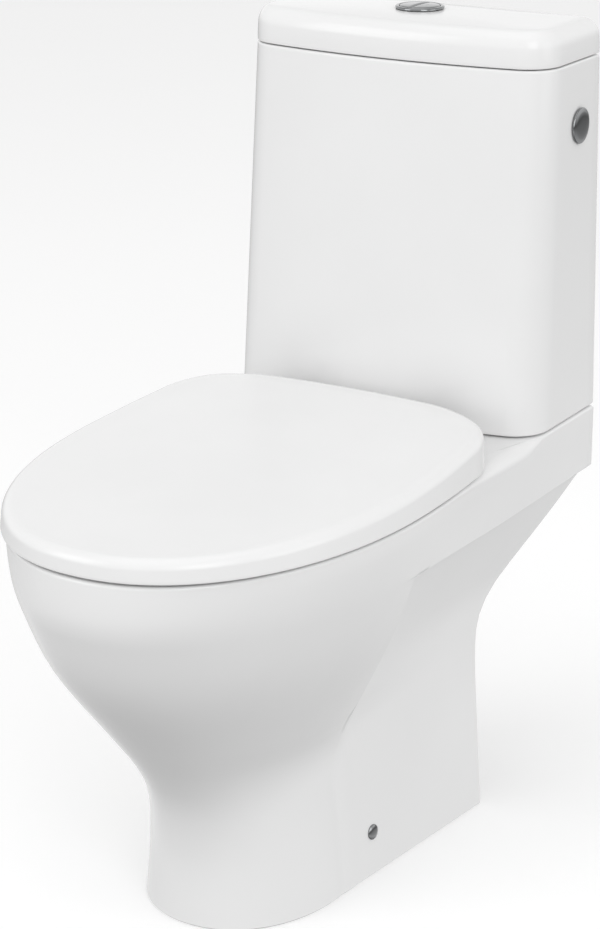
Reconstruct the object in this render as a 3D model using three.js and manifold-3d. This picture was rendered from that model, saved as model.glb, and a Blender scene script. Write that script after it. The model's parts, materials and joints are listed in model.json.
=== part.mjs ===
// A floor-standing close coupled toilet: rimless washdown pan with a horizontal outlet, a cistern with
// a dual flush push button, and a soft-close seat whose lid wraps over the ring.
// Frame: millimetres, +Z up, +Y towards the wall, the bowl's nose towards -Y, origin on the floor at the
// centre of the footprint. The wall plane is y = DEPTH / 2.
import * as THREE from "three";
import { mergeVertices } from "three/addons/utils/BufferGeometryUtils.js";
import Module from "manifold-3d";

const wasm = await Module();
wasm.setup();

// ---------------------------------------------------------------- driving dimensions
const DEPTH = 654; // nose of the seat to the wall
const WALL = DEPTH / 2;
const RIM_Z = 400; // top of the ceramic rim and of the platform under the cistern
const BAND_Z = 337; // lower edge of the platform's side band
const CHINA = 10; // wall thickness of the hollow-cast pan
const PLATE = 14; // thickness of the rim and platform top
const GAP = 0.4; // running or resting gap between two pieces

const TANK_BOTTOM = 401.5;
const TANK_TOP = 751.2;
const TANK_WALL = 9;
const TANK_FLOOR = 13;
const LID_BOTTOM = 752.4;
const LID_UNDERSIDE = 776; // of its top plate
const LID_TOP = 788; // where the rounded edge ends
const LID_PLATEAU = 789.8; // the gently domed middle
const RECESS_Z = 380; // floor of the recess for the coupling gasket
const GASKET_R = 45;

const FLUSH_Y = 265; // axis of the flush valve and the push button
const BOLT_X = 78; // cistern bolts, either side of the flush valve
const INLET_Y = 282.5; // side water inlet and the capped spare hole opposite
const INLET_Z = 690;

const HINGE_X = 77.5; // seat fixing holes stand 155 apart
const FIXING_HOLE_Y = 130;
const HINGE_Y = 124; // axis that the ring and the lid turn on
const HINGE_Z = 422;
const HINGE_R = 19; // the lid's round back edge
const PIN_R = 5;

const SKIRT_Z = 403; // lower edge of the seat lid
const LID_PLATE = 5;
const LID_REAR = HINGE_Y + HINGE_R;
const LID_CORNER = 87; // radius of the lid's rear corners in plan
const LID_CROWN = 8; // how far the lid's middle stands above its sides
const SEAT_HALF_WIDTH = 181.8; // of the lid's outline, at SEAT_WIDEST
const SEAT_WIDEST = -47.4;
const SEAT_REACH = 279.3; // from there to the nose
const RING_BOTTOM = 405.5;
const RING_INSET = 10; // the ring's outline inside the lid's

const OUTLET_Z = 180; // centre height of the horizontal soil outlet
const OUTLET_R = 51;
const SPIGOT_END = 240;

const FIXING_Y = 13.5; // side floor fixings
const FIXING_Z = 44;

const FLOAT_DROP = THREE.MathUtils.degToRad(22); // the float hangs this far down while the cistern is empty

const WIDEST_Y = -37; // where the bowl is widest, just in front of the recessed side panels
const PANEL_Y = -34; // front edge of the side panels

// ---------------------------------------------------------------- materials
const china = new THREE.MeshStandardMaterial({ color: 0xf4f4f2, roughness: 0.08, metalness: 0 });
const duroplast = new THREE.MeshStandardMaterial({ color: 0xf2f2f1, roughness: 0.22, metalness: 0 });
const chrome = new THREE.MeshStandardMaterial({ color: 0xc9ccd0, roughness: 0.08, metalness: 1 });
const steel = new THREE.MeshStandardMaterial({ color: 0xb4b7ba, roughness: 0.35, metalness: 1 });
const brass = new THREE.MeshStandardMaterial({ color: 0xb9974f, roughness: 0.3, metalness: 1 });
const whitePlastic = new THREE.MeshStandardMaterial({ color: 0xe9eaea, roughness: 0.45, metalness: 0 });
const bluePlastic = new THREE.MeshStandardMaterial({ color: 0x3b6ea5, roughness: 0.45, metalness: 0 });
const greyPlastic = new THREE.MeshStandardMaterial({ color: 0x8b9094, roughness: 0.5, metalness: 0 });
const rubber = new THREE.MeshStandardMaterial({ color: 0x2b2c2e, roughness: 0.8, metalness: 0 });
const foam = new THREE.MeshStandardMaterial({ color: 0x3a3b3d, roughness: 0.95, metalness: 0 });
const softPad = new THREE.MeshStandardMaterial({ color: 0xdfe0e0, roughness: 0.6, metalness: 0 });

const toilet = new THREE.Group();

// ---------------------------------------------------------------- helpers
// A closed geometry as a manifold solid that can be cut and joined.
function solid(geometry) {
  const bare = geometry.clone();
  bare.deleteAttribute("normal");
  bare.deleteAttribute("uv");
  const merged = mergeVertices(bare, 1e-4);
  const vertProperties = merged.attributes.position.array;
  const triVerts = new Uint32Array(merged.index.array);
  return new wasm.Manifold(new wasm.Mesh({ numProp: 3, vertProperties, triVerts }));
}

function geometryOf(body) {
  const mesh = body.getMesh();
  const geometry = new THREE.BufferGeometry();
  geometry.setAttribute("position", new THREE.BufferAttribute(mesh.vertProperties, 3));
  geometry.setIndex(new THREE.BufferAttribute(mesh.triVerts, 1));
  geometry.computeVertexNormals();
  return geometry;
}

function join(...bodies) {
  return bodies.reduce((whole, body) => whole.add(body));
}

// The same solid moved by a matrix. A matrix that mirrors it also turns its triangles inside out, so they turn back.
function moved(body, matrix) {
  const geometry = geometryOf(body).applyMatrix4(matrix);
  if (matrix.determinant() < 0) geometry.index.array.reverse();
  return solid(geometry);
}

// A solid made for the right side, as it is or mirrored to the left.
function onSide(body, side) {
  return side > 0 ? body : moved(body, new THREE.Matrix4().makeScale(-1, 1, 1));
}

function place(name, body, material) {
  const mesh = new THREE.Mesh(geometryOf(body), material);
  mesh.name = name;
  toilet.add(mesh);
}

// A solid skinned over rings of points that rise from the first ring to the last.
function loft(rings) {
  const count = rings[0].length;
  const positions = [];
  const index = [];
  for (const ring of rings) {
    for (const point of ring) positions.push(...point);
  }
  for (let level = 0; level + 1 < rings.length; level++) {
    for (let i = 0; i < count; i++) {
      const a = level * count + i;
      const b = level * count + ((i + 1) % count);
      index.push(a, b, b + count, a, b + count, a + count);
    }
  }
  for (const [level, turn] of [[0, -1], [rings.length - 1, 1]]) {
    const centre = positions.length / 3;
    const middle = [0, 1, 2].map((k) => rings[level].reduce((sum, p) => sum + p[k], 0) / count);
    positions.push(...middle);
    for (let i = 0; i < count; i++) {
      const a = level * count + i;
      const b = level * count + ((i + 1) % count);
      index.push(centre, turn > 0 ? a : b, turn > 0 ? b : a);
    }
  }
  const geometry = new THREE.BufferGeometry();
  geometry.setAttribute("position", new THREE.Float32BufferAttribute(positions, 3));
  geometry.setIndex(index);
  return solid(geometry);
}

// A smooth curve through [position, value] pairs, as a function.
function profile(points) {
  const slope = points.map((p, i) => {
    const before = points[Math.max(i - 1, 0)];
    const after = points[Math.min(i + 1, points.length - 1)];
    return (after[1] - before[1]) / (after[0] - before[0]);
  });
  return (s) => {
    let i = 0;
    while (i < points.length - 2 && s > points[i + 1][0]) i++;
    const [s0, v0] = points[i];
    const [s1, v1] = points[i + 1];
    const width = s1 - s0;
    const t = THREE.MathUtils.clamp((s - s0) / width, 0, 1);
    const t2 = t * t;
    const t3 = t2 * t;
    return (
      (2 * t3 - 3 * t2 + 1) * v0 +
      (t3 - 2 * t2 + t) * width * slope[i] +
      (3 * t2 - 2 * t3) * v1 +
      (t3 - t2) * width * slope[i + 1]
    );
  };
}

// An egg-shaped ring: a superellipse in front of its widest line and another behind it.
function egg({ z, halfWidth, widest, front, rear, nose = 2.12, heel = 2.4, points = 40 }) {
  const ring = [];
  for (let i = 0; i < points; i++) {
    const angle = (2 * Math.PI * i) / points;
    const c = Math.cos(angle);
    const s = Math.sin(angle);
    const power = 2 / (s < 0 ? nose : heel);
    const x = halfWidth * Math.sign(c) * Math.abs(c) ** power;
    const reach = s < 0 ? widest - front : rear - widest;
    ring.push([x, widest + reach * Math.sign(s) * Math.abs(s) ** power, z]);
  }
  return ring;
}

function turned(points, axis = "z", segments = 24) {
  const lathe = new THREE.LatheGeometry(points.map(([r, h]) => new THREE.Vector2(r, h)), segments);
  if (axis === "z") lathe.rotateX(Math.PI / 2);
  if (axis === "x") lathe.rotateZ(-Math.PI / 2);
  return lathe;
}

// A round bar or ring along an axis, from low to high, at a centre line through (a, b).
function rod({ r, bore = 0, low, high, at = [0, 0], axis = "z", segments = 24 }) {
  const outline = [[bore, low], [r, low], [r, high], [bore, high], [bore, low]];
  const geometry = turned(outline, axis, segments);
  if (axis === "z") geometry.translate(at[0], at[1], 0);
  if (axis === "x") geometry.translate(0, at[0], at[1]);
  if (axis === "y") geometry.translate(at[0], 0, at[1]);
  return solid(geometry);
}

function box(x0, x1, y0, y1, z0, z1) {
  const geometry = new THREE.BoxGeometry(x1 - x0, y1 - y0, z1 - z0);
  geometry.translate((x0 + x1) / 2, (y0 + y1) / 2, (z0 + z1) / 2);
  return solid(geometry);
}

function hexagon({ across, low, high, at = [0, 0], axis = "z" }) {
  return rod({ r: across / Math.sqrt(3), low, high, at, axis, segments: 6 });
}

function pipe(path, radius, steps, sides = 16) {
  const circle = new THREE.Shape();
  circle.absarc(0, 0, radius, 0, 2 * Math.PI);
  const geometry = new THREE.ExtrudeGeometry(circle, {
    steps,
    curveSegments: sides,
    extrudePath: path,
  });
  return solid(geometry);
}

const SIDES = [["left", -1], ["right", 1]];

// ---------------------------------------------------------------- pan
// Height profiles of the outside: the bowl and foot, the recessed side panels, and the band above them.
const bowlHalfWidth = profile([[0, 96], [60, 90], [120, 84], [160, 89], [200, 108], [280, 146], [340, 167], [400, 181]]);
const bowlNose = profile([
  [0, -163], [60, -161], [120, -174], [160, -197], [200, -228], [280, -291], [340, -319], [365, -326], [400, -325],
]);
const panelFront = profile([
  [0, 96], [60, 90], [120, 85], [150, 87], [190, 93], [230, 104], [280, 121], [337, 141],
]);
const panelRear = profile([[0, 119], [100, 113], [180, 109], [220, 113], [240, 119], [280, 138], [337, 167]]);
const heelLine = profile([[0, 199], [190, 200], [220, 212], [260, 252], [300, 287], [337, 307]]);

function bowlRing(z, inset) {
  return egg({
    z,
    halfWidth: bowlHalfWidth(z) - inset,
    widest: WIDEST_Y,
    front: bowlNose(z) + inset,
    rear: 14 - inset,
    heel: 3,
    points: 32,
  });
}

// The outer form of the bowl and foot, or with an inset the hollow inside it.
function bowlBody(inset) {
  const rings = [0, 60, 110, 145, 175, 205, 240, 275, 310, 345, 375].map((z) => bowlRing(z, inset));
  if (inset) return loft([bowlRing(-5, inset), ...rings, bowlRing(RIM_Z - PLATE, inset)]);
  return loft([...rings, bowlRing(395, 0), bowlRing(398.5, 1.2), bowlRing(RIM_Z, 4)]);
}

function panelBody(inset) {
  const rings = [0, 60, 120, 180, 205, 225, 245, 265, 285, 310, BAND_Z].map((z) => {
    const end = heelLine(z) + (inset ? 60 : 0);
    const front = panelFront(z) - inset;
    const rear = panelRear(z) - inset;
    const half = [[48, -100 + inset], [front, PANEL_Y], [rear, end]];
    const left = half.map(([x, y]) => [-x, y]).reverse();
    return [...half, ...left].map(([x, y]) => [x, y, inset && z === 0 ? -5 : z]);
  });
  return loft(rings);
}

function bandRing(z, inset, rearInset = inset) {
  const rearWidth = 170.6;
  const swell = bowlHalfWidth(z) - 1 - rearWidth;
  const half = [-110, -70, WIDEST_Y, 10, 60, 110, 160].map((y) => {
    const share = THREE.MathUtils.smoothstep(160 - y, 0, 160 - WIDEST_Y);
    const tuck = Math.max(WIDEST_Y - y, 0) * 0.6;
    return [rearWidth + swell * share - tuck - inset, y];
  });
  const end = WALL - rearInset;
  half.push([rearWidth - rearInset, 205], [rearWidth - rearInset, end - 1], [rearWidth - 1 - rearInset, end]);
  const left = half.map(([x, y]) => [-x, y]).reverse();
  return [...half, ...left].map(([x, y]) => [x, y, z]);
}

// The inside of the basin, or with a margin its outer skin.
const basinHalfWidth = profile([[118, 30], [160, 46], [200, 68], [260, 100], [320, 124], [370, 138], [400, 134]]);
const basinNose = profile([[118, -112], [160, -140], [200, -178], [260, -226], [320, -260], [370, -280], [400, -275]]);
const basinHeel = profile([[118, -38], [160, -14], [200, 8], [260, 34], [320, 54], [370, 68], [400, 64]]);

function basinRing(z, margin, drop = 0) {
  const ring = egg({
    z,
    halfWidth: basinHalfWidth(z) + margin,
    widest: (basinNose(z) + basinHeel(z)) / 2 + 22,
    front: basinNose(z) - margin,
    rear: basinHeel(z) + margin,
    nose: 2.1,
    heel: 2.2,
    points: 24,
  });
  return ring.map(([x, y]) => [x, y, z - drop]);
}

function basin(margin) {
  const rings = [150, 185, 225, 265, 305, 345, 375].map((z) => basinRing(z, margin));
  return loft([basinRing(118, margin, margin), ...rings, basinRing(400, margin, margin ? 1 : -1)]);
}

const trapPath = new THREE.CatmullRomCurve3(
  [[-88, 152], [-20, 119], [34, 140], [62, 190], [92, 222], [130, 204], [172, 180], [210, 180]].map(
    ([y, z]) => new THREE.Vector3(0, y, z),
  ),
);

function pan() {
  const band = loft([bandRing(BAND_Z, 0), bandRing(390, 0), bandRing(396, 2.5, 0), bandRing(RIM_Z, 9, 1)]);
  const bandHollow = loft([bandRing(BAND_Z - 1, 12), bandRing(RIM_Z - PLATE, 12)]);
  const hollow = join(bowlBody(CHINA), panelBody(CHINA), bandHollow);
  const spigot = rod({ r: OUTLET_R, low: 150, high: SPIGOT_END, at: [0, OUTLET_Z], axis: "y" });
  const trap = pipe(trapPath, 38, 14, 6);
  // flush way: an inlet boss under the coupling and a duct to the back of the basin
  const duct = box(-40, 40, 40, FLUSH_Y, 342, RIM_Z - 2);
  const boss = rod({ r: 54, low: 342, high: RIM_Z - 2, at: [0, FLUSH_Y] });
  let body = join(bowlBody(0), panelBody(0), band).subtract(hollow);
  body = join(body, basin(8), trap, spigot, duct, boss).subtract(basin(0)).subtract(pipe(trapPath, 28, 14, 6));
  body = body.subtract(rod({ r: 43, low: 176, high: SPIGOT_END + 2, at: [0, OUTLET_Z], axis: "y" }));
  body = body.subtract(rod({ r: GASKET_R + 0.4, low: RECESS_Z, high: RIM_Z + 1, at: [0, FLUSH_Y] }));
  body = body.subtract(rod({ r: 33, low: 352, high: RIM_Z, at: [0, FLUSH_Y] }));
  body = body.subtract(box(-30, 30, 50, FLUSH_Y, 352, RECESS_Z));
  for (const [, side] of SIDES) {
    body = body.subtract(rod({ r: 6, low: 370, high: 410, at: [side * BOLT_X, FLUSH_Y], segments: 16 }));
    body = body.subtract(rod({ r: 7, low: 370, high: 410, at: [side * HINGE_X, FIXING_HOLE_Y], segments: 16 }));
    body = body.subtract(sideFixing(side, { r: 5, low: -20, high: 20 }));
  }
  return body;
}

// A round bar square to the pedestal's side at a floor fixing; low and high count outwards from its surface.
function sideFixing(side, { r, bore = 0, low, high, segments = 16 }) {
  const outline = [[bore, low], [r, low], [r, high], [bore, high], [bore, low]];
  const bar = turned(outline, "x", segments);
  const lean = (panelFront(0) - panelFront(60)) / 60;
  const splay = (panelRear(FIXING_Z) - panelFront(FIXING_Z)) / (heelLine(0) - PANEL_Y);
  const outward = new THREE.Vector3(1, -splay, lean).normalize();
  bar.applyQuaternion(new THREE.Quaternion().setFromUnitVectors(new THREE.Vector3(1, 0, 0), outward));
  bar.translate(panelFront(FIXING_Z) + splay * (FIXING_Y - PANEL_Y), FIXING_Y, FIXING_Z);
  return onSide(solid(bar), side);
}

// ---------------------------------------------------------------- cistern
function cisternRing(z, inset) {
  const up = (z - TANK_BOTTOM) / (TANK_TOP - TANK_BOTTOM);
  const w = THREE.MathUtils.lerp(170.2, 162.9, Math.min(up, 1)) - inset;
  const front = THREE.MathUtils.lerp(170.1, 193.7, Math.min(up, 1)) + inset;
  const bow = THREE.MathUtils.lerp(15.9, 11.9, Math.min(up, 1));
  const r = Math.max(30.5 - inset, 4);
  const back = 2;
  const flat = w - r;
  const lean = Math.atan((2 * bow) / flat);
  const radius = r / (1 - Math.sin(lean));
  const half = [0, 0.25, 0.5, 0.75, 1].map((share) => [flat * share, front + bow * share * share]);
  for (let i = 1; i <= 6; i++) {
    const angle = lean + ((Math.PI / 2 - lean) * i) / 6;
    const out = flat + radius * (Math.sin(angle) - Math.sin(lean));
    half.push([out, front + bow + radius * (Math.cos(lean) - Math.cos(angle))]);
  }
  const end = WALL - inset;
  half.push([w, end - back], [w - back * 0.3, end - back * 0.3], [w - back, end]);
  const left = half.slice(1).reverse().map(([x, y]) => [-x, y]);
  return [...half, ...left].map(([x, y]) => [x, y, z]);
}

function cisternTank() {
  const outside = loft([
    cisternRing(TANK_BOTTOM, 2.5),
    cisternRing(TANK_BOTTOM + 0.8, 0.7),
    cisternRing(TANK_BOTTOM + 2.5, 0),
    cisternRing(TANK_TOP - 1.5, 0),
    cisternRing(TANK_TOP, 1.5),
  ]);
  const inside = loft([
    cisternRing(TANK_BOTTOM + TANK_FLOOR, TANK_WALL + 8),
    cisternRing(TANK_BOTTOM + TANK_FLOOR + 8, TANK_WALL),
    cisternRing(TANK_TOP + 1, TANK_WALL),
  ]);
  let body = outside.subtract(inside);
  body = body.subtract(rod({ r: 32.5, low: 400, high: 420, at: [0, FLUSH_Y] }));
  for (const [, side] of SIDES) {
    body = body.subtract(rod({ r: 6, low: 400, high: 420, at: [side * BOLT_X, FLUSH_Y], segments: 16 }));
  }
  return body.subtract(rod({ r: 11.5, low: -180, high: 180, at: [INLET_Y, INLET_Z], axis: "x", segments: 16 }));
}

function cisternLid() {
  const inside = TANK_WALL + 2.5;
  const outside = loft([
    cisternRing(LID_BOTTOM, 1.5),
    cisternRing(LID_BOTTOM + 1.5, 0),
    cisternRing(772, 0.8),
    cisternRing(780, 3),
    cisternRing(785.5, 7.5),
    cisternRing(LID_TOP, 14),
    cisternRing(LID_PLATEAU, 40),
  ]);
  const lip = loft([cisternRing(745, inside), cisternRing(765, inside)]);
  const hollow = loft([cisternRing(744, inside + 5), cisternRing(LID_UNDERSIDE, inside + 5)]);
  return join(outside, lip).subtract(hollow).subtract(rod({ r: 22, low: 740, high: 800, at: [0, FLUSH_Y] }));
}

// ---------------------------------------------------------------- coupling
function wingNut(bottom, at) {
  const [x, y] = at;
  const hub = rod({ r: 8, low: bottom, high: bottom + 8, at, segments: 12 });
  const wings = box(x - 17, x + 17, y - 1.6, y + 1.6, bottom + 1, bottom + 7);
  return join(hub, wings).subtract(rod({ r: 4.3, low: bottom - 1, high: bottom + 9, at, segments: 12 }));
}

function coupling() {
  const at = [0, FLUSH_Y];
  const gasket = rod({ r: GASKET_R, bore: 37.5, low: RECESS_Z + 0.4, high: TANK_BOTTOM - 0.4, at });
  place("coupling_gasket", gasket, foam);
  const inner = TANK_BOTTOM + TANK_FLOOR;
  const underPlate = RIM_Z - PLATE;
  for (const [name, side] of SIDES) {
    const spot = [side * BOLT_X, FLUSH_Y];
    const bolt = join(
      rod({ r: 4, low: 352, high: inner + 7, at: spot, segments: 12 }),
      rod({ r: 10, low: inner + 5.8, high: inner + 7.5, at: spot, segments: 16 }),
      hexagon({ across: 13, low: inner + 7, high: inner + 13, at: spot }),
    );
    place(`cistern_bolt_${name}`, bolt, brass);
    const seal = rod({ r: 14, bore: 4.4, low: inner + GAP, high: inner + 5.4, at: spot, segments: 16 });
    place(`bolt_seal_${name}`, seal, rubber);
    const washer = rod({ r: 12, bore: 4.4, low: underPlate - 2, high: underPlate - GAP, at: spot, segments: 16 });
    place(`bolt_washer_${name}`, washer, steel);
    place(`cistern_wing_nut_${name}`, wingNut(underPlate - 10.4, spot), brass);
  }
}

// ---------------------------------------------------------------- flush valve
const TAIL_R = 30;
const SEAT_Z = 426; // top of the valve base, where the seal sits
const CAGE_TOP = 646;
const ROD_X = 12.5;

function flushValve() {
  const at = [0, FLUSH_Y];
  const inner = TANK_BOTTOM + TANK_FLOOR;
  const base = join(
    rod({ r: TAIL_R, bore: 24, low: 366, high: inner + 5, at }),
    rod({ r: 43, bore: 24, low: inner + 3.4, high: SEAT_Z, at }),
  );
  place("flush_valve_base", base, whitePlastic);
  place("flush_valve_washer", rod({ r: 41, bore: TAIL_R + GAP, low: inner + GAP, high: inner + 3, at }), rubber);
  const nut = hexagon({ across: 64, low: TANK_BOTTOM - 12, high: TANK_BOTTOM - GAP, at });
  const bore = rod({ r: TAIL_R + GAP, low: 380, high: 420, at });
  place("flush_valve_back_nut", nut.subtract(bore), whitePlastic);

  const shell = [
    [33.5, SEAT_Z + GAP], [36, SEAT_Z + GAP], [36, CAGE_TOP], [9.5, CAGE_TOP], [9.5, CAGE_TOP - 4],
    [33.5, CAGE_TOP - 4], [33.5, SEAT_Z + GAP],
  ];
  const tube = turned(shell);
  tube.translate(0, FLUSH_Y, 0);
  let cage = solid(tube);
  cage = cage.subtract(box(-50, 50, FLUSH_Y - 14, FLUSH_Y + 14, SEAT_Z + 8, SEAT_Z + 55));
  cage = cage.subtract(box(-14, 14, FLUSH_Y - 50, FLUSH_Y + 50, SEAT_Z + 8, SEAT_Z + 55));
  for (const [, side] of SIDES) {
    cage = cage.subtract(rod({ r: 2.8, low: 640, high: 650, at: [side * ROD_X, FLUSH_Y], segments: 12 }));
  }
  place("flush_valve_cage", cage, whitePlastic);
  place("overflow_tube", rod({ r: 9, bore: 7, low: SEAT_Z + 1, high: 676, at, segments: 16 }), bluePlastic);
  place("flush_valve_seal", rod({ r: 29, bore: 9.4, low: SEAT_Z + GAP, high: SEAT_Z + 4, at }), rubber);
}

// ---------------------------------------------------------------- fill valve
const PIVOT_Z = 709; // hinge of the float arm

function fillValve() {
  const at = [INLET_Y, INLET_Z];
  const shank = join(
    rod({ r: 10.4, bore: 5, low: -181, high: -148, at, axis: "x", segments: 16 }),
    rod({ r: 17, bore: 5, low: -151, high: -147, at, axis: "x", segments: 16 }),
    rod({ r: 13, low: -147.5, high: -92, at, axis: "x", segments: 16 }),
    box(-104, -88, INLET_Y - 9, INLET_Y + 9, 682, PIVOT_Z + 7),
  );
  const pivotBore = rod({ r: 3.4, low: -110, high: -80, at: [INLET_Y, PIVOT_Z], axis: "x", segments: 16 });
  place("fill_valve_body", shank.subtract(pivotBore), whitePlastic);
  const washer = rod({ r: 17, bore: 10.8, low: -154.2, high: -151.4, at, axis: "x", segments: 16 });
  place("fill_valve_washer", washer, rubber);
  const nut = hexagon({ across: 27, low: -172, high: -164.8, at, axis: "x" });
  const thread = rod({ r: 10.8, low: -180, high: -160, at, axis: "x", segments: 16 });
  place("fill_valve_nut", nut.subtract(thread), whitePlastic);

  const y = INLET_Y - 47;
  const arm = join(
    rod({ r: 3, low: -106, high: -80, at: [INLET_Y, PIVOT_Z], axis: "x", segments: 16 }),
    box(-87.4, -81, y - 5, INLET_Y + 5, PIVOT_Z - 5, PIVOT_Z + 5),
    box(-87.4, -81, y - 5, y + 5, 669.4, PIVOT_Z),
  );
  const float = box(-132, -80, y - 24, y + 24, 604, 669);
  place("float_arm", hung(arm), bluePlastic);
  place("float", hung(float), greyPlastic);
}

// Turned down about the float arm's hinge, as it hangs in an empty cistern.
function hung(body) {
  const toPivot = new THREE.Matrix4().makeTranslation(0, -INLET_Y, -PIVOT_Z);
  const turn = new THREE.Matrix4().makeRotationX(FLOAT_DROP);
  const back = new THREE.Matrix4().makeTranslation(0, INLET_Y, PIVOT_Z);
  return moved(body, back.multiply(turn).multiply(toPivot));
}

function inletPlug() {
  const at = [INLET_Y, INLET_Z];
  const cap = join(
    rod({ r: 9, low: 140, high: 166, at, axis: "x", segments: 16 }),
    rod({ r: 17.5, low: 164.7, high: 167.2, at, axis: "x", segments: 24 }),
    rod({ r: 15.5, low: 167, high: 168.6, at, axis: "x", segments: 24 }),
  );
  place("side_inlet_cap", cap, chrome);
  const nut = hexagon({ across: 30, low: 146.5, high: 153.6, at, axis: "x" });
  const thread = rod({ r: 9.4, low: 140, high: 160, at, axis: "x", segments: 16 });
  place("side_inlet_cap_nut", nut.subtract(thread), whitePlastic);
}

// ---------------------------------------------------------------- push button
const BUTTON_R = 19.6;
const BEZEL_Z = 790.3;
const BUTTON_TOP = 794;

function halfButton(side) {
  const dome = [[0, 783], [BUTTON_R, 783], [BUTTON_R, BUTTON_TOP - 1.6], [18, BUTTON_TOP - 0.8], [9, BUTTON_TOP], [0, BUTTON_TOP]];
  const disc = turned(dome);
  disc.translate(0, FLUSH_Y, 0);
  const keep = side < 0 ? box(-30, -0.4, 200, 330, 700, 800) : box(0.4, 30, 200, 330, 700, 800);
  return solid(disc).intersect(keep);
}

function pushButton() {
  const at = [0, FLUSH_Y];
  const ring = [
    [20, 768], [21.6, 768], [21.6, BEZEL_Z], [23.8, BEZEL_Z], [23.8, BEZEL_Z + 1.2], [22.6, BEZEL_Z + 2.6],
    [20, BEZEL_Z + 2.6], [20, 768],
  ];
  const bezel = turned(ring);
  bezel.translate(0, FLUSH_Y, 0);
  place("button_bezel", solid(bezel), chrome);
  place("button_clamp_ring", rod({ r: 30, bore: 22, low: 769, high: LID_UNDERSIDE - GAP, at }), whitePlastic);
  for (const [name, side] of [["half", -1], ["full", 1]]) {
    place(`${name}_flush_button`, halfButton(side), chrome);
    const spot = [side * ROD_X, FLUSH_Y];
    const rodBody = rod({ r: 2.2, low: CAGE_TOP + 6.6, high: 782.6, at: spot, segments: 12 });
    place(`${name}_flush_push_rod`, rodBody, bluePlastic);
  }
}

// ---------------------------------------------------------------- seat
// Plan of the lid: half an egg in front, sides that draw in towards the hinge, round back corners.
function seatOutline(inset, rear, corner) {
  const w = SEAT_HALF_WIDTH - inset;
  const reach = SEAT_REACH - inset;
  const side = (y) => w - 4.85 * ((y - SEAT_WIDEST) / 100) ** 2;
  const half = [];
  for (let i = 0; i <= 12; i++) {
    const angle = (Math.PI / 2) * (i / 12);
    const x = w * Math.sin(angle) ** (2 / 2.16);
    half.push([x, SEAT_WIDEST - reach * Math.cos(angle) ** (2 / 2.16)]);
  }
  const start = rear - corner;
  for (const share of [0.5, 1]) {
    const y = THREE.MathUtils.lerp(SEAT_WIDEST, start, share);
    half.push([side(y), y]);
  }
  for (const degrees of [15, 30, 45, 60, 75, 90]) {
    const angle = THREE.MathUtils.degToRad(degrees);
    half.push([side(start) - corner * (1 - Math.cos(angle)), start + corner * Math.sin(angle)]);
  }
  const left = half.slice(1).reverse().map(([x, y]) => [-x, y]);
  return [...half, ...left];
}

// The lid's top is a low dome that falls to the nose and to the sides.
const lidEdge = profile([[-DEPTH / 2, 423], [SEAT_WIDEST, 430], [HINGE_Y, 436]]);

function lidTop(x, y) {
  const outwards = Math.hypot(x / SEAT_HALF_WIDTH, (Math.min(y, SEAT_WIDEST) - SEAT_WIDEST) / SEAT_REACH);
  return lidEdge(y) + LID_CROWN * (1 - outwards ** 2);
}

// Unit directions into a closed plan outline, one for each of its points.
function inwardOf(outline) {
  return outline.map((_, i) => {
    const before = outline.at(i - 1);
    const after = outline[(i + 1) % outline.length];
    const length = Math.hypot(after[0] - before[0], after[1] - before[1]);
    return [(before[1] - after[1]) / length, (after[0] - before[0]) / length];
  });
}

// The lid's outside, or with a thickness the hollow under it. Its back edge is round about the hinge axis.
function seatLidForm(thickness) {
  const outline = seatOutline(0, LID_REAR, LID_CORNER);
  const inward = inwardOf(outline);
  const r = HINGE_R - thickness;
  const edge = [[0, SKIRT_Z], [0.8, 408], [1.6, 412], [3.6, null, 9], [6, null, 4.5], [9.5, null, 1.4], [15, null, 0]];
  const rings = edge.map(([inset, rise, fall], level) => {
    const turn = Math.PI * (level / (edge.length - 1) - 0.5);
    return outline.map(([x, y], i) => {
      const back = THREE.MathUtils.smoothstep(y, HINGE_Y - 14, LID_REAR - 6);
      const draw = THREE.MathUtils.lerp(inset + thickness, HINGE_R - r * Math.cos(turn), back);
      const at = [x + inward[i][0] * draw, y + inward[i][1] * draw];
      const front = (rise ?? lidTop(...at) - fall) - Math.min(thickness, 1 + level * 2);
      const reach = turn > 0 ? lidTop(at[0], HINGE_Y) - HINGE_Z - thickness : r;
      return [...at, THREE.MathUtils.lerp(front, HINGE_Z + reach * Math.sin(turn), back)];
    });
  });
  const brim = rings.at(-1);
  for (const share of [0.75, 0.5, 0.25, 0.06]) {
    rings.push(
      brim.map(([x, y]) => {
        const at = [x * share, THREE.MathUtils.lerp(THREE.MathUtils.clamp(y, -190, 20), y, share)];
        return [...at, lidTop(...at) - thickness];
      }),
    );
  }
  if (thickness) rings.unshift(rings[0].map(([x, y]) => [x, y, SKIRT_Z - 8]));
  return loft(rings);
}

function seatLid() {
  let body = seatLidForm(0).subtract(seatLidForm(LID_PLATE));
  body = body.subtract(box(-128, 128, HINGE_Y - 20, LID_REAR + 5, SKIRT_Z - 5, 414));
  for (const [, side] of SIDES) {
    const [low, high] = side < 0 ? [-59, -38] : [38, 59];
    const axis = [HINGE_Y, HINGE_Z];
    body = join(body, rod({ r: 15, low, high, at: axis, axis: "x", segments: 24 }));
    const notch = side < 0 ? [-96, -59.5] : [59.5, 96];
    body = body.subtract(box(...notch, HINGE_Y - 8, LID_REAR + 5, SKIRT_Z - 5, 438));
    const relief = side < 0 ? [-113.6, -95] : [95, 113.6];
    body = body.subtract(
      rod({ r: 10.8, low: relief[0], high: relief[1], at: axis, axis: "x", segments: 24 }),
    ).subtract(box(...relief, HINGE_Y, LID_REAR + 5, SKIRT_Z - 5, 419));
    const bore = side < 0 ? [-62, -36] : [36, 62];
    body = body.subtract(
      rod({ r: PIN_R + GAP, low: bore[0], high: bore[1], at: axis, axis: "x", segments: 16 }),
    );
  }
  return body;
}

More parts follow.
